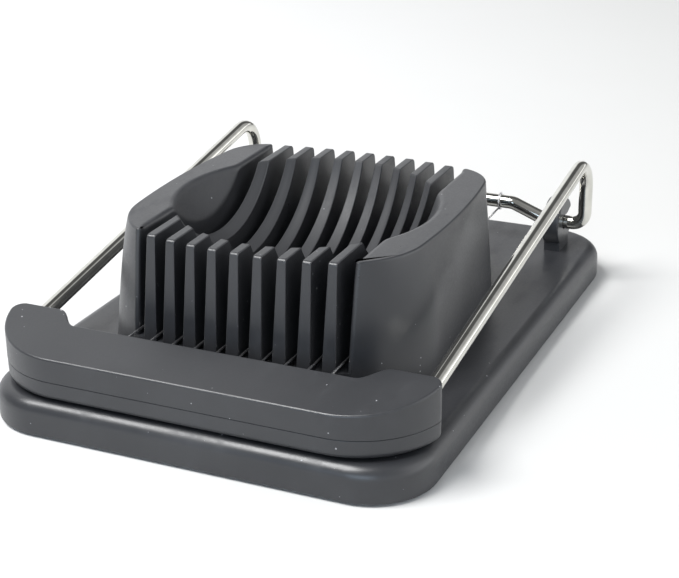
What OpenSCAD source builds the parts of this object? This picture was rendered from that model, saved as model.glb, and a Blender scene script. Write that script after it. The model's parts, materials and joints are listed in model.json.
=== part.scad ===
// Egg slicer: a moulded base with a slotted egg cradle, and a wire cutting frame hinged at its rear.
// Origin: centre of the base, on the surface it stands on. +X right, +Y to the hinge, +Z up.

/* [Base] */
// Width of the base, left to right
base_w = 94.4; // [92:0.2:98]
// Depth of the base, front to rear
base_d = 134; // [132:0.5:138]
// Height of the base's flat top above the table
base_top = 7.8; // [7.4:0.1:8.2]
// Plan radius of the base's corners
base_corner = 13.2; // [12:0.1:15]
// Rounding of the base's top edge
base_edge = 2; // [1.6:0.1:2]
// Wall thickness of the base and cradle moulding
wall = 2.2; // [1.8:0.1:2.4]
// Gap between the base's rim and the table, held open by the feet
foot_stand = 0.5; // [0.3:0.1:0.8]
// Diameter of a foot pad
foot_d = 9; // [8:0.5:10]
// Thickness of a foot pad
foot_t = 3; // [2.5:0.1:3.2]

/* [Cradle] */
// Height of the cradle's flat top above the table
cradle_top = 35.1; // [34:0.1:36]
// Front of the cradle's top, at the middle
cradle_front = -42.1; // [-43:0.1:-41]
// Rear of the cradle's top, at the middle
cradle_rear = 26.6; // [26:0.1:27]
// Half the width of the cradle's top, at its widest
cradle_half = 33.2; // [33:0.1:34]
// Plan radius of the bowed front
front_bow = 83; // [75:1:95]
// Plan radius of the bowed rear
rear_bow = 110; // [100:1:120]
// Plan radius of the bowed sides
side_bow = 176; // [160:1:200]
// Plan radius of the front corners
front_corner = 18; // [15:0.5:19]
// Plan radius of the rear corners
rear_corner = 10; // [8:0.5:11]
// How far the cradle's foot flares out beyond its top, at the front and rear
flare = 3.2; // [2.6:0.1:3.6]
// How far the cradle's foot flares out beyond its top, at the sides
side_flare = 4; // [3.6:0.1:4.2]
// How much flatter the bowed sides are at the foot, added to their radius
side_flatten = 324; // [250:2:360]
// How far forward the widest place is at the foot
side_forward = 36.5; // [25:0.5:38]
// Radius of the round hollow that holds the egg
hollow_r = 31; // [30.6:0.1:31.3]
// Height of the hollow's centre above the table
hollow_z = 48.3; // [48:0.1:48.6]
// Place of the hollow's centre, front to rear
hollow_y = -8.5; // [-9:0.1:-8]

/* [Slots and wires] */
// Number of wires, each with its own slot
wires = 10; // [10:1:10]
// Distance from wire to wire
pitch = 5; // [4.9:0.05:5]
// Width of a slot at the cradle's top
slot_top_w = 3.1; // [2.8:0.1:3.2]
// Width of a slot at its floor
slot_floor_w = 2; // [1.8:0.1:2.2]
// Height of the slots' floor above the table
slot_floor = 13; // [12.8:0.1:13.3]
// Diameter of a wire
wire_d = 0.5; // [0.4:0.05:0.6]
// Height of the wires where they leave the handle
wire_front_z = 14.9; // [14.8:0.1:15.1]

/* [Bail] */
// Diameter of the steel rod
rod_d = 3.2; // [3:0.1:3.2]
// Distance of each leg from the middle
arm_x = 44; // [43.8:0.1:44.2]
// How much closer together the arms are where they end in the handle
arm_splay = 0.7; // [0:0.1:0.8]
// Rise of the arms for each millimetre towards the hinge
arm_slope = 0.155; // [0.15:0.001:0.16]
// Height of the arms' centre line where they leave the handle
arm_start_z = 15.7; // [15.7:0.1:15.9]
// Inner bend radius of the arms at the top of the legs, on the centre line
leg_bend = 7; // [5:0.5:7.5]
// Bend radius at the foot of the legs, on the centre line
foot_bend = 3; // [2.5:0.1:3]
// Place of the hinge axis, front to rear
pivot_y = 53.5; // [53:0.1:54]
// Height of the hinge axis above the table
pivot_z = 14.3; // [14.2:0.1:14.8]
// How far the wire bar stands above the hinge axis at rest
bar_lift = 3.1; // [2.8:0.1:3.2]
// Half the length of the wire bar's straight stretch
bar_half = 26; // [25.5:0.1:27]

/* [Hinge lugs] */
// Inner face of a lug, from the middle
lug_in = 35.2; // [35:0.1:35.4]
// Outer face of a lug, from the middle
lug_out = 39.2; // [39:0.1:39.4]
// Radius of a lug's round head
lug_r = 5.8; // [5.4:0.1:5.9]
// Depth of the post below the head, front to rear
lug_post = 7.4; // [7:0.1:8]
// Height of the throat that the rod snaps through
lug_mouth = 2.7; // [2.4:0.1:2.8]
// Height of the mouth where it opens at the rear
lug_mouth_rear = 5.2; // [4.6:0.1:5.4]
// Radial running clearance of the rod in the lugs
hinge_gap = 0.05; // [0.03:0.01:0.08]

/* [Handle] */
// Front face of the handle
grip_front = -65.8; // [-66.5:0.1:-65.5]
// Rear face of the handle between its two ends
grip_rear = -53.6; // [-54:0.1:-53.4]
// Rear face of the handle's ends, where the arms go in
end_rear = -49; // [-49.4:0.1:-48.8]
// Half the length of the handle
grip_half = 47.3; // [47:0.1:48]
// Plan radius of the handle's front corners
grip_corner = 18; // [17:0.5:19]
// Plan radius of the handle's rear corners
grip_rear_corner = 2.5; // [2:0.1:3]
// Underside of the handle
grip_bottom = 8.2; // [8.1:0.1:8.6]
// Height of the joint line between the two handle shells
grip_seam = 12.2; // [12:0.1:12.4]
// Height of the handle's top at its front edge
grip_top_z = 17.2; // [17:0.1:17.6]
// Rise of the handle's top for each millimetre towards the rear
grip_slope = 0.17; // [0.16:0.005:0.18]
// Wall thickness of the handle shells
grip_wall = 2; // [1.6:0.1:2]

/* [Hidden] */
$fn = 64;
over = 1;
plastic = [0.2, 0.2, 0.21];
grip_plastic = [0.24, 0.24, 0.25];
steel = [0.75, 0.75, 0.76];
rubber = [0.08, 0.08, 0.08];
rod_r = rod_d / 2;
wire_r = wire_d / 2;
slot_depth_y = 110;
foot_x = base_w / 2 - 11;
foot_y = base_d / 2 - 11;
boss_wall = 1.5;
arm_lean = atan(arm_slope);
bar_z = pivot_z + bar_lift;
crank_x = lug_in - 1.2;
rod_end_y = -54;
loop_gap = 0.03;
loop_t = 0.7;
loop_r = rod_r + loop_gap + loop_t / 2;
anchor_y = -57.6;
anchor_t = 1;
anchor_half = 25.5;
anchor_low = 12.6;
anchor_high = 16.4;
ferrule_r = 0.8;
ferrule_l = 2;
wire_slope = (bar_z - loop_r - wire_front_z) / (pivot_y - grip_rear);
screw_spots = [[-33, -58.6], [0, -62], [33, -58.6]];
screw_head_r = 1.9;
screw_head_t = 1.2;
screw_r = 1;
screw_seat = grip_bottom + 0.4;
screw_tip = 14.6;
boss_r = 2.4;
s_outer = 36.4;
s_inner = 30.4;

// Centre-line height of the arms at a place y
function arm_z(y) = arm_start_z + arm_slope * (y - end_rear);

// Distance of an arm's centre line from the middle at a place y
function arm_at(y) = arm_x - arm_splay * (pivot_y - leg_bend - y) / (pivot_y - leg_bend - rod_end_y);

// Height of a wire's centre line at a place y
function wire_z(y) = wire_front_z + wire_slope * (y - grip_rear);

// Points of an arc about c, without its last point
function arc(c, r, a0, a1, n) = [
    for (i = [0 : n - 1])
        let (a = a0 + (a1 - a0) * i / n)
        c + r * [cos(a), sin(a)]
];

// Direction of q seen from p, in degrees
function heading(p, q) = atan2(q[1] - p[1], q[0] - p[0]);

// The point at distance r1 from c1 and r2 from c2, on the side that s chooses
function meet(c1, r1, c2, r2, s) =
    let (
        d = norm(c2 - c1),
        u = (c2 - c1) / d,
        a = (r1 * r1 - r2 * r2 + d * d) / (2 * d),
        h = sqrt(r1 * r1 - a * a)
    )
    c1 + a * u + s * h * [-u[1], u[0]];

// A half outline from the front middle to the rear middle, closed by its mirror image
function both_halves(half) = concat(
    half,
    [for (i = [len(half) - 2 : -1 : 1]) [-half[i][0], half[i][1]]]
);

// How far height z is down the cradle's wall, from 0 at its top to 1 at the base
function depth_at(z) = (cradle_top - z) / (cradle_top - base_top);

// Plan outline of the cradle at depth t, grown outwards by g: five arcs that run into each other
function cradle_outline(t, g) =
    let (
        grow = flare * t + g,
        bow = side_bow + side_flatten * t,
        cf = [0, cradle_front + front_bow],
        cs = [cradle_half + side_flare * t - bow, hollow_y - side_forward * t],
        cr = [0, cradle_rear - rear_bow],
        pf = meet(cf, front_bow - front_corner, cs, bow - flare * t - front_corner, 1),
        pr = meet(cs, bow - flare * t - rear_corner, cr, rear_bow - rear_corner, 1),
        a1 = heading(cf, pf),
        a2 = heading(cs, pf),
        a3 = heading(cs, pr),
        a4 = heading(cr, pr)
    )
    both_halves(concat(
        arc(cf, front_bow + grow, -90, a1, 5),
        arc(pf, front_corner + grow, a1, a2, 8),
        arc(cs, bow + g, a2, a3, 6),
        arc(pr, rear_corner + grow, a3, a4, 8),
        arc(cr, rear_bow + grow, a4, 90, 5),
        [cr + (rear_bow + grow) * [0, 1]]
    ));

// Plan outline of the handle, drawn in by g
function grip_outline(g) =
    let (
        c = [grip_half - grip_corner, grip_front + grip_corner],
        big = grip_corner - g,
        small = max(grip_rear_corner - g, 0.4),
        py = end_rear - g - small,
        px = c[0] + sqrt(pow(big - small, 2) - pow(py - c[1], 2)),
        turn = heading(c, [px, py]),
        shift = 0.6 * g
    )
    both_halves(concat(
        [[0, grip_front + g]],
        arc(c, big, -90, turn, 12),
        arc([px, py], small, turn, 90, 6),
        [for (t = [0 : 0.125 : 1])
            [
                s_outer + shift + (s_inner - s_outer) * t,
                end_rear - g + (grip_rear - end_rear) * (1 - cos(180 * t)) / 2
            ]],
        [[0, grip_rear - g]]
    ));

// A solid through a stack of rings, each a list of 3-D points of the same length
module skin(rings) {
    n = len(rings[0]);
    last = len(rings) - 1;
    polyhedron(
        points = [for (ring = rings) each ring],
        faces = concat(
            [[for (i = [0 : n - 1]) i]],
            [[for (i = [n - 1 : -1 : 0]) last * n + i]],
            [for (k = [0 : last - 1], i = [0 : n - 1])
                let (j = (i + 1) % n)
                [k * n + i, (k + 1) * n + i, (k + 1) * n + j, k * n + j]]
        ),
        convexity = 8
    );
}

// The outline points at height z
function ring_at(outline, z) = [for (p = outline) [p[0], p[1], z]];

// A round bar from p to q
module bar(p, q, r) {
    d = q - p;
    translate(p)
        rotate([0, acos(d[2] / norm(d)), atan2(d[1], d[0])])
            cylinder(h = norm(d), r = r);
}

// A flat plate with rounded plan corners, from z0 to z1
module plan_plate(w, d, r, z0, z1) {
    translate([0, 0, z0])
        linear_extrude(height = z1 - z0)
            union() {
                square([w - 2 * r, d], center = true);
                square([w, d - 2 * r], center = true);
                for (sx = [-1, 1], sy = [-1, 1])
                    translate([sx * (w / 2 - r), sy * (d / 2 - r)])
                        circle(r);
            }
}

// The base's outer block, with its rounded top edge
module base_block() {
    e = base_edge;
    z = base_top - e;
    plan_plate(base_w, base_d, base_corner, foot_stand, z);
    plan_plate(base_w - 2 * e, base_d - 2 * e, base_corner - e, foot_stand, base_top);
    for (sx = [-1, 1])
        translate([sx * (base_w / 2 - e), 0, z])
            rotate([90, 0, 0])
                cylinder(h = base_d - 2 * base_corner, r = e, center = true);
    for (sy = [-1, 1])
        translate([0, sy * (base_d / 2 - e), z])
            rotate([0, 90, 0])
                cylinder(h = base_w - 2 * base_corner, r = e, center = true);
    for (sx = [-1, 1], sy = [-1, 1])
        translate([sx * (base_w / 2 - base_corner), sy * (base_d / 2 - base_corner), z])
            rotate_extrude()
                translate([base_corner - e, 0])
                    circle(e);
}

// The cradle's block between two heights, grown outwards by g
module cradle_block(g, z0, z1) {
    skin([for (k = [0 : 4])
        let (z = z0 + (z1 - z0) * k / 4)
        ring_at(cradle_outline(depth_at(z), g), z)]);
}

// The ball that shapes the egg hollow, grown by g
module egg_ball(g) {
    translate([0, hollow_y, hollow_z])
        sphere(hollow_r + g, $fn = 96);
}

// The space under the cradle: low beneath the slots, high inside the two end lobes
module cradle_core() {
    slot_half = (wires - 1) / 2 * pitch + slot_top_w / 2 + wall;
    difference() {
        cradle_block(-wall, foot_stand - over, cradle_top - wall);
        egg_ball(wall);
        translate([-slot_half, -slot_depth_y / 2, slot_floor - wall])
            cube([2 * slot_half, slot_depth_y, cradle_top]);
    }
}

// One slot from front to rear, a little wider at its top
module slot() {
    h = cradle_top + over - slot_floor;
    grow = (slot_top_w - slot_floor_w) * h / (cradle_top - slot_floor);
    translate([0, slot_depth_y / 2, slot_floor])
        rotate([90, 0, 0])
            linear_extrude(height = slot_depth_y)
                polygon([
                    [-slot_floor_w / 2, 0],
                    [slot_floor_w / 2, 0],
                    [(slot_floor_w + grow) / 2, h],
                    [-(slot_floor_w + grow) / 2, h]
                ]);
}

// Everything that is placed once for each wire
module at_wires() {
    for (i = [0 : wires - 1])
        translate([(i - (wires - 1) / 2) * pitch, 0, 0])
            children();
}

// One hinge lug on the right, a round head on a post, with its bore and the mouth at the rear
module lug() {
    t = lug_out - lug_in;
    throat = lug_mouth / 2;
    lip = lug_mouth_rear / 2;
    difference() {
        union() {
            translate([lug_in, pivot_y, pivot_z])
                rotate([0, 90, 0])
                    cylinder(h = t, r = lug_r);
            translate([lug_in, pivot_y - lug_post / 2, base_top - wall])
                cube([t, lug_post, pivot_z - base_top + wall]);
        }
        translate([lug_in - over, pivot_y, pivot_z])
            rotate([0, 90, 0])
                cylinder(h = t + 2 * over, r = rod_r + hinge_gap);
        translate([lug_in - over, pivot_y, pivot_z])
            rotate([90, 0, 90])
                linear_extrude(t + 2 * over)
                    polygon([
                        [0, -throat],
                        [rod_r + 0.6, -throat],
                        [lug_r + over, -lip],
                        [lug_r + over, lip],
                        [rod_r + 0.6, throat],
                        [0, throat]
                    ]);
    }
}

// A thing repeated at the four feet
module at_feet() {
    for (sx = [-1, 1], sy = [-1, 1])
        translate([sx * foot_x, sy * foot_y, 0])
            children();
}

module base_body() {
    color(plastic) {
        difference() {
            union() {
                difference() {
                    union() {
                        base_block();
                        cradle_block(0, base_top - wall, cradle_top);
                    }
                    plan_plate(
                        base_w - 2 * wall,
                        base_d - 2 * wall,
                        base_corner - wall,
                        foot_stand - over,
                        base_top - wall
                    );
                    cradle_core();
                }
                at_feet()
                    translate([0, 0, foot_stand + 0.5])
                        cylinder(h = base_top - wall - foot_stand, d = foot_d + 2 * boss_wall);
            }
            egg_ball(0);
            at_wires()
                slot();
            at_feet()
                cylinder(h = foot_t, d = foot_d + 0.1);
        }
        lug();
        mirror([1, 0, 0])
            lug();
    }
}

module foot(sx, sy) {
    color(rubber)
        translate([sx * foot_x, sy * foot_y, 0])
            cylinder(h = foot_t, d = foot_d);
}

// A ring of points about c, in the plane of the unit directions u and v
function rod_ring(c, u, v, r) = [for (a = [0 : 15 : 345]) c + r * (cos(a) * u + sin(a) * v)];

// The rod from inside the hinge stretch, round both bends of the leg and down the arm
module leg_and_arm() {
    r = 0.995 * rod_r;
    across = [1, 0, 0];
    along = [0, 1, 0];
    foot_c = [arm_x - foot_bend, pivot_y, pivot_z + foot_bend];
    top_c = [arm_x, pivot_y - leg_bend, arm_z(pivot_y - leg_bend) - leg_bend / cos(arm_lean)];
    skin(concat(
        [rod_ring([foot_c[0] - 1, pivot_y, pivot_z], [0, 0, -1], along, r)],
        [for (t = [0 : 18 : 90])
            let (u = [sin(t), 0, -cos(t)])
            rod_ring(foot_c + foot_bend * u, u, along, r)],
        [for (t = [0 : 0.125 : 1])
            let (a = t * (90 + arm_lean), v = [0, cos(a), sin(a)])
            rod_ring(top_c + leg_bend * v, across, v, r)],
        [rod_ring(
            [arm_at(rod_end_y), rod_end_y, arm_z(rod_end_y)],
            across,
            [0, -sin(arm_lean), cos(arm_lean)],
            r
        )]
    ));
}

// The cranked piece between the wire bar and the hinge stretch
module crank() {
    r = 0.995 * rod_r;
    along = [0, 1, 0];
    fall = atan(bar_lift / (crank_x - bar_half));
    level = [0, 0, -1];
    turned = [-sin(fall / 2), 0, -cos(fall / 2)] / cos(fall / 2);
    skin([
        rod_ring([bar_half - 2, pivot_y, bar_z], level, along, r),
        rod_ring([bar_half, pivot_y, bar_z], turned, along, r),
        rod_ring([crank_x, pivot_y, pivot_z], turned, along, r),
        rod_ring([crank_x + 2, pivot_y, pivot_z], level, along, r)
    ]);
}

module half_bail() {
    bar([crank_x + 0.6, pivot_y, pivot_z], [arm_x - foot_bend - 0.55, pivot_y, pivot_z], rod_r);
    leg_and_arm();
    crank();
}

module bail_rod() {
    color(steel) {
        bar([0.6 - bar_half, pivot_y, bar_z], [bar_half - 0.6, pivot_y, bar_z], rod_r);
        half_bail();
        mirror([1, 0, 0])
            half_bail();
    }
}

// Everything above the handle's sloping top, moved down by drop
module above_grip(drop) {
    translate([0, grip_front, grip_top_z - drop])
        rotate([atan(grip_slope), 0, 0])
            translate([-60, -20, 0])
                cube([120, 60, 30]);
}

// The channel that a rod end lies in, open towards the lower shell
module rod_channel() {
    w = rod_d + 0.1;
    y0 = rod_end_y - 0.3;
    y1 = end_rear + over;
    for (sx = [-1, 1]) {
        bar([sx * arm_at(y0), y0, arm_z(y0)], [sx * arm_at(y1), y1, arm_z(y1)], w / 2);
        difference() {
            translate([sx * arm_at(y0) - w / 2, y0, grip_seam - over])
                cube([w, y1 - y0, 4]);
            translate([sx * arm_at(y0) - w, y0, arm_z(y0)])
                rotate([arm_lean, 0, 0])
                    cube([2 * w, 20, 10]);
        }
    }
}

module handle_upper_shell() {
    color(grip_plastic)
        difference() {
            union() {
                difference() {
                    translate([0, 0, grip_seam])
                        linear_extrude(height = 12)
                            polygon(grip_outline(0));
                    difference() {
                        translate([0, 0, grip_seam - over])
                            linear_extrude(height = 12)
                                polygon(grip_outline(grip_wall));
                        above_grip(grip_wall);
                    }
                }
                intersection() {
                    translate([0, 0, grip_seam])
                        linear_extrude(height = 8)
                            polygon(grip_outline(0.5));
                    union() {
                        for (sx = [-1, 1])
                            translate([sx * arm_x - 4, rod_end_y - 3, grip_seam])
                                cube([8, end_rear - rod_end_y + 2, 7]);
                        for (p = screw_spots)
                            translate([p[0], p[1], grip_seam])
                                cylinder(h = 5.2, r = boss_r);
                        for (sx = [-1, 1])
                            translate([sx * (anchor_half - 0.4) - 0.9, anchor_y + anchor_t, grip_seam])
                                cube([1.8, grip_rear - anchor_y - anchor_t, 5.5]);
                    }
                }
            }
            above_grip(0);
            rod_channel();
            for (p = screw_spots)
                translate([p[0], p[1], grip_seam - over])
                    cylinder(h = screw_tip + 0.5 - grip_seam + over, r = screw_r);
            at_wires()
                translate([-0.4, grip_rear - grip_wall - over, grip_seam - over])
                    cube([0.8, grip_wall + 2 * over, wire_front_z + 0.5 - grip_seam + over]);
        }
}

module handle_lower_shell() {
    color(grip_plastic)
        difference() {
            for (step = [
                [0.9, 0, 0.25],
                [0.45, 0.25, 0.6],
                [0.15, 0.6, 1.2],
                [0, 1.2, grip_seam - grip_bottom]
            ])
                translate([0, 0, grip_bottom + step[1]])
                    linear_extrude(height = step[2] - step[1])
                        polygon(grip_outline(step[0]));
            difference() {
                translate([0, 0, grip_bottom + 1.8])
                    linear_extrude(height = 10)
                        polygon(grip_outline(grip_wall + 0.6));
                for (p = screw_spots)
                    translate([p[0], p[1], grip_bottom])
                        cylinder(h = 10, r = boss_r);
            }
            for (p = screw_spots)
                translate([p[0], p[1], grip_bottom - over]) {
                    cylinder(h = 10, r = screw_r + 0.2);
                    cylinder(h = screw_seat + screw_head_t - grip_bottom + over, r = screw_head_r + 0.1);
                }
        }
}

module handle_screws() {
    color(steel)
        for (p = screw_spots)
            translate([p[0], p[1], screw_seat])
                difference() {
                    union() {
                        cylinder(h = screw_head_t, r = screw_head_r);
                        cylinder(h = screw_tip - screw_seat, r = screw_r);
                    }
                    for (turn = [0, 90])
                        rotate([0, 0, turn])
                            translate([-1.1, -0.25, -over])
                                cube([2.2, 0.5, over + 0.6]);
                }
}

module wire_anchor_plate() {
    color(steel)
        difference() {
            translate([-anchor_half, anchor_y, anchor_low])
                cube([2 * anchor_half, anchor_t, anchor_high - anchor_low]);
            at_wires()
                translate([0, anchor_y + anchor_t + over, wire_z(anchor_y)])
                    rotate([90, 0, 0])
                        cylinder(h = anchor_t + 2 * over, r = wire_r + 0.06);
        }
}

module wire_ferrules() {
    color(steel)
        at_wires()
            translate([0, anchor_y, wire_z(anchor_y)])
                rotate([90, 0, 0])
                    difference() {
                        cylinder(h = ferrule_l, r = ferrule_r);
                        translate([0, 0, -over])
                            cylinder(h = ferrule_l + 2 * over, r = wire_r + 0.03);
                    }
}

// One wire, from its ferrule to its loop round the wire bar
module wire(i) {
    start_y = anchor_y - ferrule_l - 0.3;
    color(steel)
        translate([(i - (wires - 1) / 2) * pitch, 0, 0]) {
            bar([0, start_y, wire_z(start_y)], [0, pivot_y, wire_z(pivot_y)], wire_r);
            translate([-loop_t / 2, pivot_y, bar_z])
                rotate([0, 90, 0])
                    difference() {
                        cylinder(h = loop_t, r = loop_r + loop_t / 2);
                        translate([0, 0, -over])
                            cylinder(h = loop_t + 2 * over, r = loop_r - loop_t / 2);
                    }
        }
}

base_body();
foot(-1, -1);  // foot_front_left
foot(1, -1);  // foot_front_right
foot(-1, 1);  // foot_rear_left
foot(1, 1);  // foot_rear_right
bail_rod();
handle_upper_shell();
handle_lower_shell();
handle_screws();
wire_anchor_plate();
wire_ferrules();
wire(0);  // wire_01
wire(1);  // wire_02
wire(2);  // wire_03
wire(3);  // wire_04
wire(4);  // wire_05
wire(5);  // wire_06
wire(6);  // wire_07
wire(7);  // wire_08
wire(8);  // wire_09
wire(9);  // wire_10
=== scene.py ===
import json
from math import acos, atan, atan2, cos, pi, radians, sin, sqrt, tan

import bmesh
import bpy
import numpy as np
from mathutils import Matrix, Vector


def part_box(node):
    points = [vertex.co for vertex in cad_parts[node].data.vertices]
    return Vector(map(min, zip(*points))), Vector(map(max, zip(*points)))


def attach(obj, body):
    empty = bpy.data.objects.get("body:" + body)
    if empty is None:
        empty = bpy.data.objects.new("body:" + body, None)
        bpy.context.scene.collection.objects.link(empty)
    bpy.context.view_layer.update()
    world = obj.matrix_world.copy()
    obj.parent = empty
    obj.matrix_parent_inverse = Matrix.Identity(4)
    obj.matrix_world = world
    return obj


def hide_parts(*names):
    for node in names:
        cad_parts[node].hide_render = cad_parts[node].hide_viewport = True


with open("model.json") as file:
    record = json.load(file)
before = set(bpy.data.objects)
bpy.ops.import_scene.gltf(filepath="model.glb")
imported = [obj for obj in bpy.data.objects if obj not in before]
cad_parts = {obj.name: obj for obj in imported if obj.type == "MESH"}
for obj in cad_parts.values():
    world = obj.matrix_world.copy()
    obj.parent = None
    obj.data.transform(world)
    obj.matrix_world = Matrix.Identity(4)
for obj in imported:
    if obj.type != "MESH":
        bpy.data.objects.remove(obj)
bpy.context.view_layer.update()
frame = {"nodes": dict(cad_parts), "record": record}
MM = 0.001

# ---------------------------------------------------------------- sizes, in mm, in the CAD's frame
def box_mm(node):
    """A CAD node's lowest and highest corners in mm."""
    return [[v / MM for v in corner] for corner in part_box(node)]


BASE_LO, BASE_HI = box_mm("base_body")
ROD_HI = box_mm("bail_rod")[1]
GRIP_LO, GRIP_HI = box_mm("handle_upper_shell")
LOW_LO = box_mm("handle_lower_shell")[0]
HINGE = [v / MM for v in frame["record"]["behaviour"]["joints"][0]["pos_m"]]

BASE_W, BASE_D = BASE_HI[0] - BASE_LO[0], BASE_HI[1] - BASE_LO[1]
BASE_TOP, RIM, CORNER, FILLET = 7.8, BASE_LO[2], 13.2, 2.9
WALL = 2.2  # thickness of the moulding seen from below
SINK = 1.2  # how far the cradle's parts reach down into the plate
TOP = BASE_HI[2]
FLARE = 3.2  # how much wider the cradle is at its foot
BALL_R, BALL_Y, BALL_Z = 31.0, -8.5, 48.3  # the egg hollow
PITCH, WIRES = 5.0, 10
FIN_TOP, FIN_LOW, FLOOR = 1.9, 3.0, 13.0  # rib thickness above and below, height of the slots' floor
FIN_EDGE = 0.22
WALL_X = 23.75  # the lobes' inner faces
FLOOR_OVER = 0.6  # how far the slots' floor reaches into the lobes
CORE_BOTTOM, CORE_TOP = 4.0, FLOOR - 2.3
SOFT_RIM, LOBE_EDGE = 1.3, 0.4
ROD_R = 1.6
ARM_X = ROD_HI[0] - ROD_R
ROD_END, SPLAY = -54.0, 0.7
SLOPE, ARM_Z0 = 0.155, 15.7
LEG_BEND, FOOT_BEND = 7.0, 3.0
PIV_Y, PIV_Z = HINGE[1], HINGE[2]
BAR_LIFT, BAR_HALF, CRANK_X = 3.1, 26.0, 34.0
BAR_Z = PIV_Z + BAR_LIFT
LUG_IN, LUG_OUT, LUG_R, LUG_POST = 35.2, 39.2, 5.8, 3.7
THROAT, LIP = 1.35, 2.6
SEAM = GRIP_LO[2]
GRIP_FRONT, GRIP_REAR, END_REAR, GRIP_HALF = GRIP_LO[1], -53.6, GRIP_HI[1], 47.3
GRIP_TOP, GRIP_SLOPE, GRIP_EDGE = 17.2, 0.17, 0.46
GRIP_BEND, GRIP_TIP = 18.0, 2.5  # plan radii of the handle's front corners and end tips
HOOK_OUT, HOOK_IN = 36.4, 30.4  # where the handle's hooked ends begin and meet its rear face
WIRE_R, WIRE_FRONT, NOTCH_R = 0.25, 14.9, 0.42
LOOP_DRIFT = 0.52  # sideways step of a wire in its turn round the bar
ROUND = 49  # points round a disc, its first one twice
FEET = ["foot_front_left", "foot_front_right", "foot_rear_left", "foot_rear_right"]
SCREWS = [(-33, -58.6), (0, -62), (33, -58.6)]


# ---------------------------------------------------------------- small plane-geometry helpers
def meet(c1, r1, c2, r2):
    c1, c2 = np.array(c1, float), np.array(c2, float)
    d = np.linalg.norm(c2 - c1)
    u = (c2 - c1) / d
    a = (r1 * r1 - r2 * r2 + d * d) / (2 * d)
    return c1 + a * u + sqrt(r1 * r1 - a * a) * np.array([-u[1], u[0]])


def heading(p, q):
    return atan2(q[1] - p[1], q[0] - p[0])


def arc(c, r, a0, a1, n):
    """n points of an arc, without its last one."""
    t = a0 + (a1 - a0) * np.arange(n) / n
    return np.c_[c[0] + r * np.cos(t), c[1] + r * np.sin(t)]


FRONT_BOW, REAR_BOW, SIDE_BOW, FRONT_C, REAR_C = 83.0, 110.0, 176.0, 18.0, 10.0
C_FRONT = (0, -42.1 + FRONT_BOW)
C_REAR = (0, 26.6 - REAR_BOW)


def half_outline(z, g=0.0, fine=3):
    """The cradle's right half in plan at height z, from the front middle to the rear middle, grown by g."""
    t = (TOP - z) / (TOP - BASE_TOP)
    grow = FLARE * t + g
    bow = SIDE_BOW + 324 * t
    side = (33.2 + 4 * t - bow, BALL_Y - 36.5 * t)
    pf = meet(C_FRONT, FRONT_BOW - FRONT_C, side, bow - FLARE * t - FRONT_C)
    pr = meet(side, bow - FLARE * t - REAR_C, C_REAR, REAR_BOW - REAR_C)
    a1, a2, a3, a4 = heading(C_FRONT, pf), heading(side, pf), heading(side, pr), heading(C_REAR, pr)
    parts = [
        arc(C_FRONT, FRONT_BOW + grow, -pi / 2, a1, 10 * fine),
        arc(pf, FRONT_C + grow, a1, a2, 16 * fine),
        arc(side, bow + g, a2, a3, 12 * fine),
        arc(pr, REAR_C + grow, a3, a4, 14 * fine),
        arc(C_REAR, REAR_BOW + grow, a4, pi / 2, 10 * fine),
        [(0, C_REAR[1] + REAR_BOW + grow)],
    ]
    return np.vstack(parts)


def face_y(x, z, rear):
    """Where the cradle's front or rear face is at x and z."""
    p = half_outline(z, 0, 6)
    k = int(np.argmax(p[:, 0]))
    side = p[k:][::-1] if rear else p[: k + 1]
    return float(np.interp(abs(x), side[:, 0], side[:, 1]))


def ease_corner(p, before, after, r, n=5):
    """A rounded corner at p, between the unit directions in which a path arrives and leaves."""
    p, u, v = (np.array(q, float) for q in (p, before, after))
    turn = acos(max(-1.0, min(1.0, float(u @ v))))
    cross = u[0] * v[1] - u[1] * v[0]
    side = 1.0 if cross > 0 else -1.0
    t = r * tan(turn / 2)
    c = p - u * t + side * r * np.array([-u[1], u[0]])
    a = atan2(*(p - u * t - c)[::-1])
    steps = [a + side * turn * i / n for i in range(n + 1)]
    return [c + r * np.array([cos(t), sin(t)]) for t in steps]


def unit(v):
    v = np.array(v, float)
    return v / np.linalg.norm(v)


def inset(ring, g):
    """A closed anticlockwise outline drawn in by g along its corners' bisectors."""
    ring = np.asarray(ring, float)
    e = np.roll(ring, -1, 0) - ring
    e /= np.maximum(np.linalg.norm(e, axis=1), 1e-9)[:, None]
    n1 = np.c_[-e[:, 1], e[:, 0]]
    n0 = np.roll(n1, 1, 0)
    m = n0 + n1
    m /= np.maximum(np.linalg.norm(m, axis=1), 1e-9)[:, None]
    k = np.clip((m * n1).sum(1), 0.5, 1)
    return ring + m * (g / k)[:, None]


# ---------------------------------------------------------------- mesh helpers
def mesh_object(name, verts, faces):
    """A closed mesh from points in mm. Its volume settles which way its faces look."""
    me = bpy.data.meshes.new(name)
    me.from_pydata([tuple(float(c) * MM for c in v) for v in verts], [], faces)
    me.validate()
    ob = bpy.data.objects.new(name, me)
    bpy.context.scene.collection.objects.link(ob)
    bm = bmesh.new()
    bm.from_mesh(me)
    bmesh.ops.remove_doubles(bm, verts=bm.verts, dist=1e-7)
    bmesh.ops.recalc_face_normals(bm, faces=bm.faces)
    if bm.calc_volume(signed=True) < 0:
        bmesh.ops.reverse_faces(bm, faces=bm.faces[:])
    bm.to_mesh(me)
    bm.free()
    return ob


def loft(name, rings):
    """A solid through rings of 3-D points of one length."""
    n, m = len(rings[0]), len(rings)
    verts = [p for ring in rings for p in ring]
    faces = []
    for k in range(m - 1):
        a, b = k * n, (k + 1) * n
        for i in range(n):
            j = (i + 1) % n
            faces.append((a + i, a + j, b + j, b + i))
    faces.append(tuple(range(n - 1, -1, -1)))
    faces.append(tuple((m - 1) * n + i for i in range(n)))
    return mesh_object(name, verts, faces)


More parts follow.
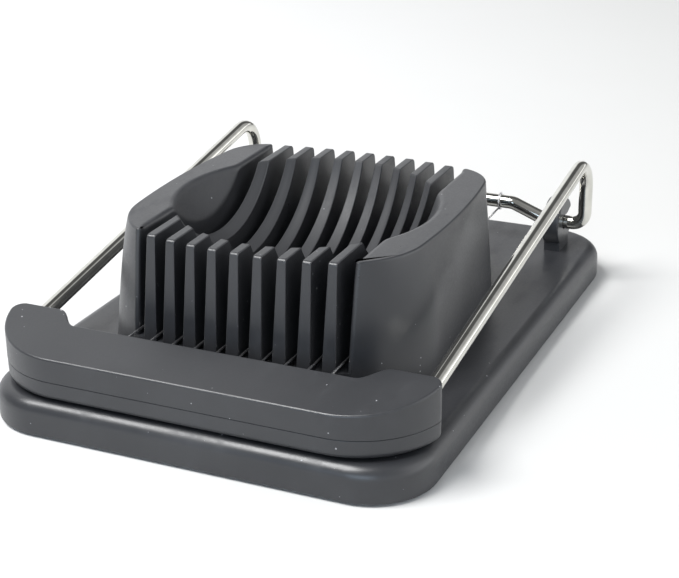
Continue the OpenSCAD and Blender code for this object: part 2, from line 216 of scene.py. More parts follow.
def boolean(ob, other, operation):
    """ob joined with, or cut by, other, which is used up."""
    mod = ob.modifiers.new("cut", "BOOLEAN")
    mod.operation = operation
    mod.object = other
    mod.solver = "MANIFOLD"
    dg = bpy.context.evaluated_depsgraph_get()
    me = bpy.data.meshes.new_from_object(ob.evaluated_get(dg))
    before = len(ob.data.vertices)
    ob.modifiers.clear()
    if len(me.vertices) < 0.3 * before:
        raise RuntimeError("the boolean lost most of " + ob.name)
    ob.data = me
    bpy.data.objects.remove(other)
    return ob


SHARP = 32


def finish_mesh(ob, weighted=True, flat_z=None):
    """Smooth shading with edges over SHARP degrees kept. Faces lying at flat_z are merged first."""
    bm = bmesh.new()
    bm.from_mesh(ob.data)
    if flat_z is not None:
        level = [v for v in bm.verts if abs(v.co.z - flat_z * MM) < 1e-5]
        within = [e for e in bm.edges if all(abs(v.co.z - flat_z * MM) < 1e-5 for v in e.verts)]
        bmesh.ops.dissolve_limit(bm, angle_limit=radians(0.25), verts=level, edges=within)
    bm.to_mesh(ob.data)
    bm.free()
    ob.data.shade_smooth()
    ob.data.set_sharp_from_angle(angle=radians(SHARP))
    if weighted:
        mod = ob.modifiers.new("normals", "WEIGHTED_NORMAL")
        mod.keep_sharp = True
        mod.weight = 50
    return ob


def at(ring, z):
    return [(p[0], p[1], z) for p in ring]


def disc(cx, cy, r, z, count=ROUND):
    """A ring of points round (cx, cy) at height z."""
    return [(cx + r * cos(t), cy + r * sin(t), z) for t in np.linspace(0, 2 * pi, count)[:-1]]


def foot_place(name):
    """A foot's centre, radius and height, from the CAD."""
    lo, hi = box_mm(name)
    return (lo[0] + hi[0]) / 2, (lo[1] + hi[1]) / 2, (hi[0] - lo[0]) / 2, hi[2] - lo[2]


def quarter(r, n=6):
    """(inset, drop) steps of a quarter round of radius r, from the side up to the top."""
    return [(r * (1 - cos(a)), r * (1 - sin(a))) for a in (pi / 2 * i / n for i in range(n + 1))]


# ---------------------------------------------------------------- base
def plate_ring(w, d, r):
    """A rectangle w by d with corners of radius r."""
    n = 14
    pts = []
    for sx, sy, a in ((1, -1, -pi / 2), (1, 1, 0), (-1, 1, pi / 2), (-1, -1, pi)):
        c = (sx * (w / 2 - r), sy * (d / 2 - r))
        turn = [a + pi / 2 * i / n for i in range(n + 1)]
        pts += [(c[0] + r * cos(t), c[1] + r * sin(t)) for t in turn]
    return pts


def base_plate():
    def ring(g, z):
        return at(plate_ring(BASE_W - 2 * g, BASE_D - 2 * g, CORNER - g), z)

    ceiling = BASE_TOP - WALL
    rings = [ring(WALL + 0.6, ceiling), ring(WALL + 0.18, ceiling - 0.18), ring(WALL, ceiling - 0.6)]
    rings += [ring(WALL, RIM + 0.3), ring(WALL - 0.3, RIM), ring(0.35, RIM)]
    rings += [ring(0.1, RIM + 0.1), ring(0, RIM + 0.35)]
    rings += [ring(g, BASE_TOP - d) for g, d in quarter(FILLET, 8)]
    return loft("base", rings)


def floor_section(x):
    """The slots' floor cut at x: a sloping-sided block just inside the cradle's faces."""
    z0, gap = BASE_TOP - SINK, 0.03
    front, rear = face_y(x, z0, False) + gap, face_y(x, z0, True) - gap
    top_front, top_rear = face_y(x, FLOOR, False) + gap, face_y(x, FLOOR, True) - gap
    return [(front, z0), (rear, z0), (top_rear, FLOOR), (top_front, FLOOR)]


def profile_x(x, xs, g):
    """One fin's outline in the YZ plane through x, drawn in by g, anticlockwise seen from +X."""
    zs = np.linspace(BASE_TOP - SINK, TOP, 9)
    front = [(face_y(xs, z, False), z) for z in zs]
    rear = [(face_y(xs, z, True), z) for z in zs]
    rho = sqrt(BALL_R ** 2 - x * x)
    half = sqrt(rho ** 2 - (BALL_Z - TOP) ** 2)
    up_f = unit(np.array(front[-1]) - np.array(front[-2]))
    up_r = unit(np.array(rear[-1]) - np.array(rear[-2]))
    pts = rear[:-2]
    pts += ease_corner(rear[-1], up_r, (-1, 0), 1.1, 7)
    lean = atan2(BALL_Z - TOP, half)
    down_r = np.array([-sin(lean), -cos(lean)])
    pts += ease_corner((BALL_Y + half, TOP), (-1, 0), down_r, 0.5, 4)
    a0 = -lean - 0.045
    a1 = -pi + lean + 0.045
    n = 46
    turn = [a0 + (a1 - a0) * i / n for i in range(n + 1)]
    pts += [(BALL_Y + rho * cos(t), BALL_Z + rho * sin(t)) for t in turn]
    up = np.array([-sin(lean), cos(lean)])
    pts += ease_corner((BALL_Y - half, TOP), up, (-1, 0), 0.5, 4)
    pts += ease_corner(front[-1], (-1, 0), -up_f, 0.8, 5)
    pts += front[:-2][::-1]
    return inset(pts, g)


def fin(i):
    """One rib: sections along X, with its edges rounded at both sides."""
    xc = (i - (WIRES - 2) / 2) * PITCH
    r = FIN_EDGE
    rings = []
    left = [(-1, r), (-1, 0.5 * r), (-1, 0.13 * r), (-1, 0), (-0.5, 0)]
    steps = left + [(0, 0)] + [(-s, g) for s, g in left[::-1]]
    back = {r: 0, 0.5 * r: 0.13 * r, 0.13 * r: 0.5 * r, 0: r}
    for s, g in steps:
        pts = profile_x(xc + s * FIN_TOP / 2, xc, g)
        ring = []
        for y, z in pts:
            h = FIN_TOP / 2 + (FIN_LOW - FIN_TOP) / 2 * (TOP - z) / (TOP - FLOOR)
            x = xc + s * h - (np.sign(s) * back[g] if abs(s) == 1 else 0)
            ring.append((x, y, z))
        rings.append(ring)
    return loft("fin", rings)


def slot_floor():
    """The block under the ribs, which is also the slots' floor."""
    xs = np.linspace(-WALL_X - FLOOR_OVER, WALL_X + FLOOR_OVER, 41)
    return loft("floor", [[(x, y, z) for y, z in floor_section(x)] for x in xs])


def lobe_ring(z, g):
    """The right end lobe in plan at height z, drawn in by g, anticlockwise, its hollow's rim eased."""
    near = max(0.0, min(1.0, (z - TOP + SOFT_RIM) / SOFT_RIM))
    ease = 0.9 * (1 - sqrt(1 - near * near))
    wall = WALL_X - 0.4 * (TOP - z) / (TOP - FLOOR)
    p = half_outline(z)
    k = int(np.argmax(p[:, 0]))
    f, r = p[: k + 1], p[k:][::-1]
    yf = float(np.interp(wall, f[:, 0], f[:, 1]))
    yr = float(np.interp(wall, r[:, 0], r[:, 1]))
    outer = p[p[:, 0] > wall + 0.9]
    count = 90
    seg = np.r_[0, np.cumsum(np.linalg.norm(np.diff(outer, axis=0), axis=1))]
    t = np.linspace(0, seg[-1], count)
    outer = np.c_[np.interp(t, seg, outer[:, 0]), np.interp(t, seg, outer[:, 1])]
    corner = 0.7
    fdir = unit(outer[0] - np.array([wall, yf]))
    rdir = unit(np.array([wall, yr]) - outer[-1])
    pts = list(outer)
    pts += ease_corner((wall, yr), rdir, (0, -1), corner, 4)
    rho2 = BALL_R ** 2 - (BALL_Z - z) ** 2
    ys = np.linspace(yr - 1.2, yf + 1.2, 100)
    for y in ys:
        d = rho2 - (y - BALL_Y) ** 2
        ball = sqrt(d) if d > 0 else 0.0
        x = 0.5 * (wall + ball + sqrt((ball - wall) ** 2 + 0.25))
        fade = min(1.0, (yr - 1.2 - y) / 3, (y - yf - 1.2) / 3)
        pts.append((wall + (x - wall) * max(0.0, fade) + ease * max(0.0, min(1.0, 2 * fade)), y))
    pts += ease_corner((wall, yf), (0, -1), fdir, corner, 4)
    return inset(pts, g)


def lobe(side):
    """An end lobe, in levels that grow closer towards its top."""
    edge = LOBE_EDGE
    zs = list(np.linspace(BASE_TOP - SINK, 26.5, 9)) + list(np.linspace(27, TOP - SOFT_RIM, 22))
    zs += list(np.linspace(TOP - SOFT_RIM, TOP - edge, 7)[1:])
    rings = [at(lobe_ring(z, 0), z) for z in zs]
    rings += [at(lobe_ring(TOP - d, g), TOP - d) for g, d in quarter(edge, 6)[1:]]
    if side < 0:
        rings = [[(-x, y, z) for x, y, z in ring[::-1]] for ring in rings]
    return loft("lobe", rings)


def lug(side):
    """A hinge lug: a round head on a narrower post, bored, with a mouth that flares to the rear."""
    head, bore, foot = LUG_R - 0.02, ROD_R + 0.05, BASE_TOP - 1.0
    throat_y = ROD_R + 0.6
    lean = (LIP - THROAT) / (LUG_R - throat_y)
    ys = np.linspace(throat_y, head, 400)
    lip_y = float(ys[np.argmin(np.abs(np.hypot(ys, THROAT + lean * (ys - throat_y)) - head))])
    lip = atan2(THROAT + lean * (lip_y - throat_y), lip_y)
    seat = atan2(THROAT, sqrt(bore ** 2 - THROAT ** 2))
    neck = acos(LUG_POST / head)

    def round_path(r, a0, a1, n):
        return [(PIV_Y + r * cos(a), PIV_Z + r * sin(a)) for a in np.linspace(a0, a1, n)]

    mouth_y, mouth = PIV_Y + lip_y - 0.45, lean * (lip_y - 0.45 - throat_y)
    pts = [(PIV_Y - LUG_POST, foot), (PIV_Y + LUG_POST, foot)]
    pts += round_path(head, -neck, -lip - 0.06, 7) + [(mouth_y, PIV_Z - THROAT - mouth)]
    pts += [(PIV_Y + throat_y, PIV_Z - THROAT)] + round_path(bore, -seat, seat - 2 * pi, 30)
    pts += [(PIV_Y + throat_y, PIV_Z + THROAT), (mouth_y, PIV_Z + THROAT + mouth)]
    pts += round_path(head, lip + 0.06, pi + neck, 34)
    edge = 0.5
    rings = []
    for k, g in ((0, edge), (0.13, 0.5 * edge), (0.5, 0.13 * edge), (1, 0)):
        rings.append((LUG_IN + k * edge, 0.8 * g))
    rings += [(LUG_OUT - (x - LUG_IN), g) for x, g in rings[::-1]]
    return loft("lug", [[(side * x, y, z) for y, z in inset(pts, g)] for x, g in rings])


def foot_pad(name):
    """A rubber foot: a disc with a shallow dish below and a rounded rim."""
    cx, cy, r, h = foot_place(name)
    dish = [(r * 0.45, 0.18), (r * 0.5, 0.05), (r * 0.6, 0)]
    rim = [(r - 0.5, 0), (r - 0.15, 0.12), (r, 0.45), (r, h)]
    return finish_mesh(loft(name + "_pad", [disc(cx, cy, q, z) for q, z in dish + rim]))


def build_base():
    """Plate, cradle, lugs and foot bosses in one solid, hollowed out under the cradle."""
    ob = base_plate()
    parts = [slot_floor()] + [fin(i) for i in range(WIRES - 1)] + [lobe(1), lobe(-1)] + [lug(1), lug(-1)]
    for part in parts:
        boolean(ob, part, "UNION")
    for name in FEET:
        cx, cy, r, _ = foot_place(name)
        outside = [(r + 1.5, BASE_TOP - 1.4), (r + 1.5, 1.2), (r + 1.3, 1.0)]
        socket = [(r + 0.15, 1.0), (r + 0.05, 1.1), (r + 0.05, 3.0)]
        boolean(ob, loft("boss", [disc(cx, cy, q, z) for q, z in outside + socket]), "UNION")
    cores = [(z, half_outline(z, -WALL, 1)) for z in (CORE_BOTTOM, CORE_TOP)]
    core = loft("core", [at(np.vstack([half, half[-2:0:-1] * [-1, 1]]), z) for z, half in cores])
    boolean(ob, core, "DIFFERENCE")
    ob.name = "base_moulding"
    return finish_mesh(ob, flat_z=BASE_TOP)


# ---------------------------------------------------------------- rod and wires
def arm_z(y):
    """Height of the rod's arms at y."""
    return ARM_Z0 + SLOPE * (y + 49)


def arm_at(y):
    """How far out the rod's arms are at y."""
    return ARM_X - SPLAY * (PIV_Y - LEG_BEND - y) / (PIV_Y - LEG_BEND - ROD_END)


def tube(name, path, r, sides):
    """A round bar swept along a path without twist, its ends slightly rounded."""
    path = [np.array(p, float) for p in path]
    n = len(path)
    caps = 3
    dirs = [unit(path[min(i + 1, n - 1)] - path[max(i - 1, 0)]) for i in range(n)]
    ref = np.array([1.0, 0, 0]) if abs(dirs[0][0]) < 0.9 else np.array([0, 1.0, 0])
    u = unit(np.cross(dirs[0], ref))
    rings = []
    for i in range(n):
        u = unit(u - dirs[i] * float(u @ dirs[i]))
        v = np.cross(dirs[i], u)
        turn = [2 * pi * k / sides for k in range(sides)]
        rings.append([path[i] + r * (cos(t) * u + sin(t) * v) for t in turn])
        if i in (0, n - 1):
            end = []
            s = 1 if i else -1
            for k in range(1, caps + 1):
                a = pi / 2 * k / caps
                e = 0.25 * r
                tip, q = path[i] + s * dirs[i] * e * sin(a), r - e + e * cos(a)
                end.append([tip + q * (cos(t) * u + sin(t) * v) for t in turn])
            if i:
                rings += end
            else:
                rings = end[::-1] + rings
    return loft(name, rings)


def bail_path():
    """The rod's centre line: half of it from the bar's middle to the right handle end, then mirrored."""
    lean = atan(SLOPE)
    by = PIV_Y - LEG_BEND
    bz = arm_z(by) - LEG_BEND / cos(lean)
    half = []
    ease = 3.0
    fall = atan2(BAR_LIFT, CRANK_X - BAR_HALF)
    for x0, z0, a0, a1 in ((BAR_HALF, BAR_Z, 0, -fall), (CRANK_X, PIV_Z, -fall, 0)):
        t = ease * tan(fall / 2) * 1.6
        p0 = np.array([x0 - t * cos(a0), z0 - t * sin(a0)])
        p1 = np.array([x0, z0])
        p2 = np.array([x0 + t * cos(a1), z0 + t * sin(a1)])
        for k in range(7):
            s = k / 6
            q = (1 - s) ** 2 * p0 + 2 * s * (1 - s) * p1 + s * s * p2
            half.append((q[0], PIV_Y, q[1]))
    for x in np.linspace(LUG_IN, LUG_OUT - 0.2, 4):
        half.append((x, PIV_Y, PIV_Z))
    for k in range(11):
        a = pi / 2 * k / 10
        half.append((ARM_X - FOOT_BEND + FOOT_BEND * sin(a), PIV_Y, PIV_Z + FOOT_BEND - FOOT_BEND * cos(a)))
    for k in range(17):
        a = (pi / 2 + lean) * k / 16
        half.append((ARM_X, by + LEG_BEND * cos(a), bz + LEG_BEND * sin(a)))
    for y in np.linspace(by - 4, ROD_END, 12):
        half.append((arm_at(y), y, arm_z(y)))
    left = [(-x, y, z) for x, y, z in half[::-1]]
    return left + [(0, PIV_Y, BAR_Z)] + half


def wire_path(i):
    """Start in the handle, straight through its slot, then once round the wire bar."""
    x = (i - (WIRES - 1) / 2) * PITCH
    y0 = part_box("wire_%02d" % (i + 1))[0][1] / MM
    loop = ROD_R + WIRE_R + 0.02
    slope = (BAR_Z - loop - WIRE_FRONT) / (PIV_Y - GRIP_REAR)
    pts = [(x, y, WIRE_FRONT + slope * (y - GRIP_REAR)) for y in np.linspace(y0, PIV_Y - 2.0, 26)]
    for k in range(25):
        a = -pi / 2 + (2 * pi - 0.12) * k / 24
        pts.append((x + LOOP_DRIFT * k / 24, PIV_Y + loop * cos(a), BAR_Z + loop * sin(a)))
    return pts


# ---------------------------------------------------------------- handle
def grip_outline(g):
    """The handle in plan, drawn in by g: bowed front corners, small tips, hooked ends."""
    r, r2 = GRIP_BEND, GRIP_TIP
    c = np.array([GRIP_HALF - r, GRIP_FRONT + r])
    big, small = r - g, max(r2 - g, 0.4)
    py = END_REAR - g - small
    px = c[0] + sqrt((big - small) ** 2 - (py - c[1]) ** 2)
    turn = heading(c, (px, py))
    shift = 0.6 * g
    hook = [
        (HOOK_OUT + shift + (HOOK_IN - HOOK_OUT) * t,
         END_REAR - g + (GRIP_REAR - END_REAR) * (1 - cos(pi * t)) / 2)
        for t in np.linspace(0, 1, 25)
    ]
    parts = [
        [(x, GRIP_FRONT + g) for x in np.linspace(0, c[0], 12)[:-1]],
        arc(c, big, -pi / 2, turn, 48),
        arc((px, py), small, turn, pi / 2, 16),
        hook,
        [(x, GRIP_REAR - g) for x in np.linspace(HOOK_IN + shift, 0, 12)[1:]],
    ]
    half = np.vstack(parts)
    return np.vstack([half, half[-2:0:-1] * [-1, 1]])


def build_upper():
    """The upper half of the handle, with its sloping top, the rod's holes and the wires' notches."""
    def top(p, d):
        return [(x, y, GRIP_TOP + GRIP_SLOPE * (y - GRIP_FRONT) - d) for x, y in p]

    steps = [(0.20, 0.02), (0.08, 0.06), (0.0, 0.2), (0.0, 1.6)]
    rings = [at(grip_outline(g), SEAM + h) for g, h in steps]
    rings += [top(grip_outline(g), d) for g, d in quarter(GRIP_EDGE, 6)]
    ob = loft("upper", rings)
    for side in (-1, 1):
        path = [(side * arm_at(y), y, arm_z(y)) for y in (ROD_END - 0.2, END_REAR + 2)]
        boolean(ob, tube("hole", path, ROD_R + 0.12, 32), "DIFFERENCE")
    for i in range(WIRES):
        x = (i - (WIRES - 1) / 2) * PITCH
        turn = np.linspace(0, 2 * pi, 17)[:-1]
        hole = [(x + NOTCH_R * cos(t), WIRE_FRONT + 0.02 + NOTCH_R * sin(t)) for t in turn]
        rings = [[(hx, y, hz) for hx, hz in hole] for y in (GRIP_REAR - 2, GRIP_REAR + 1)]
        boolean(ob, loft("notch", rings), "DIFFERENCE")
    ob.name = "handle_top"
    return finish_mesh(ob)


def build_lower():
    """The lower half of the handle, rounded below, with three screw seats."""
    z = LOW_LO[2]
    steps = [(1.9, 0), (1.5, 0.02), (1.1, 0.1), (0.72, 0.27)]
    steps += [(0.42, 0.52), (0.2, 0.86), (0.08, 1.25), (0.04, 1.7)]
    rings = [at(grip_outline(g), z + h) for g, h in steps]
    rings += [at(grip_outline(g), SEAM - h) for g, h in ((0.04, 0.2), (0.1, 0.06), (0.2, 0.02))]
    ob = loft("lower", rings)
    for x, y in SCREWS:
        steps = [(2.15, z - 1), (2.15, z), (2.0, z + 0.15), (2.0, z + 1.7)]
        boolean(ob, loft("seat", [disc(x, y, r, h, 33) for r, h in steps]), "DIFFERENCE")
    ob.name = "handle_bottom"
    return finish_mesh(ob)


# ---------------------------------------------------------------- materials
def material(name, build):
    m = bpy.data.materials.new(name)
    m.use_nodes = True
    nt = m.node_tree
    nt.nodes.clear()
    out = nt.nodes.new("ShaderNodeOutputMaterial")
    bsdf = nt.nodes.new("ShaderNodeBsdfPrincipled")
    nt.links.new(bsdf.outputs[0], out.inputs[0])
    build(nt, bsdf)
    return m


def coords(nt, scale=(1, 1, 1)):
    """Object coordinates in mm, so that grain has a real size."""
    t = nt.nodes.new("ShaderNodeTexCoord")
    m = nt.nodes.new("ShaderNodeMapping")
    m.inputs["Scale"].default_value = tuple(1000 * s for s in scale)
    nt.links.new(t.outputs["Object"], m.inputs["Vector"])
    return m.outputs[0]


def noise(nt, vec, scale, detail=4.0, rough=0.55):
    n = nt.nodes.new("ShaderNodeTexNoise")
    n.inputs["Scale"].default_value = scale
    n.inputs["Detail"].default_value = detail
    n.inputs["Roughness"].default_value = rough
    nt.links.new(vec, n.inputs["Vector"])
    return n.outputs["Fac"]


def ramp(nt, fac, a, b, lo, hi):
    """fac mapped from a..b to lo..hi and held there."""
    n = nt.nodes.new("ShaderNodeMapRange")
    n.inputs["From Min"].default_value = a
    n.inputs["From Max"].default_value = b
    n.inputs["To Min"].default_value = lo
    n.inputs["To Max"].default_value = hi
    nt.links.new(fac, n.inputs["Value"])
    return n.outputs["Result"]


def smooth(nt, fac, a, b, lo, hi):
    out = ramp(nt, fac, a, b, lo, hi)
    out.node.interpolation_type = "SMOOTHSTEP"
    return out


def mix(nt, fac, a, b):
    n = nt.nodes.new("ShaderNodeMix")
    n.data_type = "RGBA"
    nt.links.new(fac, n.inputs["Factor"])
    for value, socket in ((a, n.inputs[6]), (b, n.inputs[7])):
        if isinstance(value, tuple):
            socket.default_value = value
        else:
            nt.links.new(value, socket)
    return n.outputs[2]


def maths(nt, op, a, b):
    n = nt.nodes.new("ShaderNodeMath")
    n.operation = op
    for k, value in enumerate((a, b)):
        if isinstance(value, (int, float)):
            n.inputs[k].default_value = value
        else:
            nt.links.new(value, n.inputs[k])
    return n.outputs[0]


def bump(nt, height, strength, distance):
    n = nt.nodes.new("ShaderNodeBump")
    n.inputs["Strength"].default_value = strength
    n.inputs["Distance"].default_value = distance * MM
    nt.links.new(height, n.inputs["Height"])
    return n.outputs["Normal"]


def plastic(dark, light, rough, hollow=False):
    """Moulded plastic: fine grain, faint patches, hazy rubbed places and a little pale dust."""

    def build(nt, b):
        v = coords(nt)
        broad = noise(nt, v, 0.05, 3)
        grain = noise(nt, v, 1.9, 5)
        fine = noise(nt, v, 7.0, 3)
        rubbed = smooth(nt, noise(nt, coords(nt, (1, 0.35, 0.7)), 0.16, 6, 0.62), 0.5, 0.72, 0.0, 1.0)
        col = mix(nt, ramp(nt, broad, 0.35, 0.65, 0, 1), dark, light)
        col = mix(nt, maths(nt, "MULTIPLY", rubbed, 0.3), col, tuple(1.45 * c for c in light[:3]) + (1,))
        vor = nt.nodes.new("ShaderNodeTexVoronoi")
        vor.inputs["Scale"].default_value = 0.75
        nt.links.new(v, vor.inputs["Vector"])
        pick = nt.nodes.new("ShaderNodeSeparateColor")
        nt.links.new(vor.outputs["Color"], pick.inputs[0])
        size = ramp(nt, pick.outputs[0], 0.8, 1.0, 0.0, 0.15)
        wide = maths(nt, "MULTIPLY", size, smooth(nt, noise(nt, v, 0.035, 2), 0.42, 0.6, 0.35, 1.0))
        dot = maths(nt, "LESS_THAN", vor.outputs["Distance"], wide)
        col = mix(nt, maths(nt, "MULTIPLY", dot, 0.7), col, (0.42, 0.42, 0.44, 1))
        nt.links.new(col, b.inputs["Base Color"])
        r = ramp(nt, broad, 0.3, 0.7, rough - 0.04, rough + 0.04)
        r = maths(nt, "ADD", r, ramp(nt, grain, 0.3, 0.7, -0.04, 0.04))
        r = maths(nt, "ADD", r, maths(nt, "MULTIPLY", maths(nt, "ADD", dot, rubbed), 0.12))
        if hollow:
            r = maths(nt, "ADD", r, in_hollow(nt, 0.24))
        nt.links.new(r, b.inputs["Roughness"])
        b.inputs["IOR"].default_value = 1.54
        h = maths(nt, "ADD", maths(nt, "MULTIPLY", grain, 0.6), maths(nt, "MULTIPLY", fine, 0.4))
        h = maths(nt, "ADD", h, maths(nt, "MULTIPLY", dot, 0.9))
        nt.links.new(bump(nt, h, 0.3, 0.03), b.inputs["Normal"])

    return build


def in_hollow(nt, gain):
    """gain inside the round hollow for the egg, which is matt, and 0 outside it."""
    t = nt.nodes.new("ShaderNodeTexCoord")
    d = nt.nodes.new("ShaderNodeVectorMath")
    d.operation = "DISTANCE"
    d.inputs[1].default_value = (0, BALL_Y * MM, BALL_Z * MM)
    nt.links.new(t.outputs["Object"], d.inputs[0])
    return smooth(nt, d.outputs["Value"], (BALL_R + 0.1) * MM, (BALL_R + 0.5) * MM, gain, 0.0)


def steel(color, rough, along, lines=0.05, smear=0.06):
    """Steel with fine lines drawn out along one axis, and faint smears."""
    def build(nt, b):
        v = coords(nt, along)
        drawn = noise(nt, v, 3.0, 4)
        w = coords(nt)
        spots = noise(nt, w, 0.35, 4)
        tint = tuple(c * 0.86 for c in color[:3]) + (1,)
        col = mix(nt, ramp(nt, spots, 0.35, 0.7, 0, 1), color, tint)
        nt.links.new(col, b.inputs["Base Color"])
        b.inputs["Metallic"].default_value = 1.0
        r = ramp(nt, drawn, 0.3, 0.7, rough - lines / 2, rough + lines / 2)
        r = maths(nt, "ADD", r, ramp(nt, spots, 0.4, 0.7, 0, smear))
        nt.links.new(r, b.inputs["Roughness"])
        nt.links.new(bump(nt, drawn, 0.12, 0.01), b.inputs["Normal"])

    return build


def rubber():
    def build(nt, b):
        v = coords(nt)
        g = noise(nt, v, 2.0, 5)
        col = mix(nt, ramp(nt, g, 0.3, 0.7, 0, 1), (0.012, 0.012, 0.012, 1), (0.022, 0.022, 0.023, 1))
        nt.links.new(col, b.inputs["Base Color"])
        nt.links.new(ramp(nt, g, 0.3, 0.7, 0.7, 0.85), b.inputs["Roughness"])
        nt.links.new(bump(nt, g, 0.3, 0.05), b.inputs["Normal"])

    return build


# ---------------------------------------------------------------- put the object together
M_BASE = material("base_plastic",
                  plastic((0.022, 0.023, 0.026, 1), (0.029, 0.030, 0.033, 1), 0.34, True))
M_GRIP = material("grip_plastic",
                  plastic((0.024, 0.025, 0.028, 1), (0.031, 0.032, 0.035, 1), 0.36))
M_ROD = material("polished_rod", steel((0.71, 0.70, 0.65, 1), 0.05, (1, 0.06, 1), 0.02, 0.03))
M_WIRE = material("wire_steel", steel((0.72, 0.72, 0.73, 1), 0.25, (1, 0.05, 1)))
M_FASTENER = material("fastener_steel", steel((0.62, 0.62, 0.64, 1), 0.3, (1, 1, 1)))
M_RUBBER = material("foot_rubber", rubber())


def dress(ob, mat, body, node):
    """Gives a piece its material, hangs it on the body it rides on and hides the CAD node it stands in for.
    """
    ob.data.materials.clear()
    ob.data.materials.append(mat)
    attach(ob, body)
    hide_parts(node)


dress(build_base(), M_BASE, "base", "base_body")
for name in FEET:
    dress(foot_pad(name), M_RUBBER, "base", name)
rod = finish_mesh(tube("bent_rod", bail_path(), ROD_R, 32), weighted=False)
dress(rod, M_ROD, "cutting_frame", "bail_rod")
dress(build_upper(), M_GRIP, "cutting_frame", "handle_upper_shell")
dress(build_lower(), M_GRIP, "cutting_frame", "handle_lower_shell")
for i in range(WIRES):
    label = "wire_%02d" % (i + 1)
    wire = finish_mesh(tube(label + "_strung", wire_path(i), WIRE_R, 12), weighted=False)
    dress(wire, M_WIRE, "cutting_frame", label)
for label in ("handle_screws", "wire_anchor_plate", "wire_ferrules"):
    ob = frame["nodes"][label]
    ob.data.materials.clear()
    ob.data.materials.append(M_FASTENER)


# ---------------------------------------------------------------- floor, light and camera
# the floor's second colour is painted shade: the plain floor darkened to the right and behind
FLOOR_HALF, FLOOR_NEAR, FLOOR_SHADED = 4, 0.71, 0.60
WORLD_LEFT, WORLD_RIGHT, WORLD_TOP, WORLD_FRONT = 1.12, 0.12, 0.85, 0.32
WORLD_STRIP, WORLD_MID, WORLD_SIDE = 0.9, 0.4, 1.5


def floor():
    """A pale flat floor that ends out of sight, with painted shade that makes it a little darker to the
    right and behind.
    """
    me = bpy.data.meshes.new("floor")
    h = FLOOR_HALF
    me.from_pydata([(-h, -h, 0), (h, -h, 0), (h, h, 0), (-h, h, 0)], [], [(0, 1, 2, 3)])
    ob = bpy.data.objects.new("floor", me)
    bpy.context.scene.collection.objects.link(ob)

    def build(nt, b):
        t = nt.nodes.new("ShaderNodeTexCoord")
        split = nt.nodes.new("ShaderNodeSeparateXYZ")
        nt.links.new(t.outputs["Object"], split.inputs[0])
        # painted shade: the floor's colour darkens to the right and behind, standing in for the light
        # falling off there
        away = maths(nt, "ADD", split.outputs[0], maths(nt, "MULTIPLY", split.outputs[1], 0.3))
        grain = noise(nt, coords(nt), 0.02, 4)
        away = maths(nt, "ADD", away, maths(nt, "MULTIPLY", grain, 0.03))
        painted_shade = ramp(nt, away, -0.15, 0.12, 0.0, 1.0)
        near, far = (FLOOR_NEAR, FLOOR_NEAR, FLOOR_NEAR, 1), (FLOOR_SHADED, FLOOR_SHADED, 0.985 * FLOOR_SHADED, 1)
        nt.links.new(mix(nt, painted_shade, near, far), b.inputs["Base Color"])
        b.inputs["Roughness"].default_value = 0.9
        b.inputs["Specular IOR Level"].default_value = 0.2

    ob.data.materials.append(material("floor_paper", build))


def softbox(name, place, aim, size, watts, color=(1, 1, 1)):
    """A rectangular soft light at place, turned to aim."""
    light = bpy.data.lights.new(name, "AREA")
    light.shape = "RECTANGLE"
    light.size, light.size_y = size
    light.energy = watts
    light.color = color
    ob = bpy.data.objects.new(name, light)
    ob.location = place
    ob.rotation_euler = (Vector(aim) - Vector(place)).to_track_quat("-Z", "Y").to_euler()
    bpy.context.scene.collection.objects.link(ob)


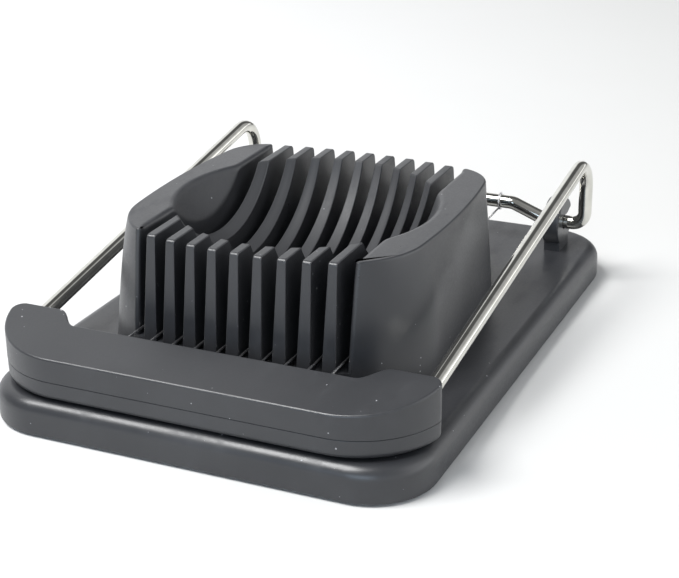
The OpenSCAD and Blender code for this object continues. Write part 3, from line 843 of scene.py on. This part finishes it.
def studio_world():
    """Room light: bright to the left behind, dim behind, even in front, brighter again to the right."""
    world = bpy.data.worlds.new("studio")
    world.use_nodes = True
    nt = world.node_tree
    t = nt.nodes.new("ShaderNodeTexCoord")
    split = nt.nodes.new("ShaderNodeSeparateXYZ")
    nt.links.new(t.outputs["Generated"], split.inputs[0])
    x, y, z = split.outputs
    slant = maths(nt, "ADD", x, maths(nt, "MULTIPLY", z, 0.45))
    behind = smooth(nt, slant, -0.20, 0.06, WORLD_LEFT, WORLD_RIGHT)
    behind = maths(nt, "MULTIPLY", behind, smooth(nt, z, 0.75, 0.95, 1.0, WORLD_TOP))
    front = ramp(nt, z, 0.0, 1.0, WORLD_FRONT, WORLD_FRONT * 0.9)
    weight = smooth(nt, y, -0.1, 0.35, 0.0, 1.0)
    front = maths(nt, "MULTIPLY", front, maths(nt, "SUBTRACT", 1.0, weight))
    level = maths(nt, "ADD", maths(nt, "MULTIPLY", behind, weight), front)
    low, high = smooth(nt, z, 0.05, 0.09, 0.0, 1.0), smooth(nt, z, 0.17, 0.23, WORLD_STRIP, 0.0)
    strip = maths(nt, "MULTIPLY", low, high)
    level = maths(nt, "ADD", level, maths(nt, "MULTIPLY", strip, smooth(nt, x, 0.1, 0.35, 0.0, 1.0)))
    mid, far = smooth(nt, x, 0.14, 0.32, 0.0, WORLD_MID), smooth(nt, x, 0.48, 0.78, 0.0, WORLD_SIDE)
    side = maths(nt, "ADD", mid, far)
    side = maths(nt, "MULTIPLY", side, smooth(nt, y, -0.35, 0.25, 0.25, 1.0))
    level = maths(nt, "ADD", level, side)
    background = nt.nodes["Background"]
    background.inputs[0].default_value = (0.975, 0.985, 1, 1)
    nt.links.new(level, background.inputs[1])
    bpy.context.scene.world = world


floor()
softbox("key", (-0.43, -0.42, 1.07), (0, 0, 0), (0.6, 0.6), 20.5)
softbox("fill", (0.1, -1.3, 0.45), (0, 0, 0.02), (1.0, 0.5), 6, (0.66, 0.82, 1.0))
studio_world()

# The camera is fitted to the photograph: focal length and width in pixels, angles in degrees.
SENSOR, FOCAL_PX, WIDTH_PX = 36.0, 1583.04, 679
AZIMUTH, ELEVATION, ROLL = 24.252, 22.786, -0.695
CAMERA_AT = (0.136434, -0.294961, 0.147624)

cam_data = bpy.data.cameras.new("camera")
cam_data.sensor_width = SENSOR
cam_data.sensor_fit = "HORIZONTAL"
cam_data.lens = SENSOR * FOCAL_PX / WIDTH_PX
cam_data.clip_start = 0.01
cam_data.clip_end = 20
cam = bpy.data.objects.new("camera", cam_data)
az, el, roll = radians(AZIMUTH), radians(ELEVATION), radians(ROLL)
back = Vector((sin(az) * cos(el), -cos(az) * cos(el), sin(el)))
right = Vector((cos(az), sin(az), 0))
up = back.cross(right)
across = cos(roll) * right + sin(roll) * up
upright = -sin(roll) * right + cos(roll) * up
cam.matrix_world = Matrix((
    (across.x, upright.x, back.x, CAMERA_AT[0]),
    (across.y, upright.y, back.y, CAMERA_AT[1]),
    (across.z, upright.z, back.z, CAMERA_AT[2]),
    (0, 0, 0, 1),
))
bpy.context.scene.collection.objects.link(cam)
bpy.context.scene.camera = cam
bpy.context.scene.view_settings.view_transform = "Standard"
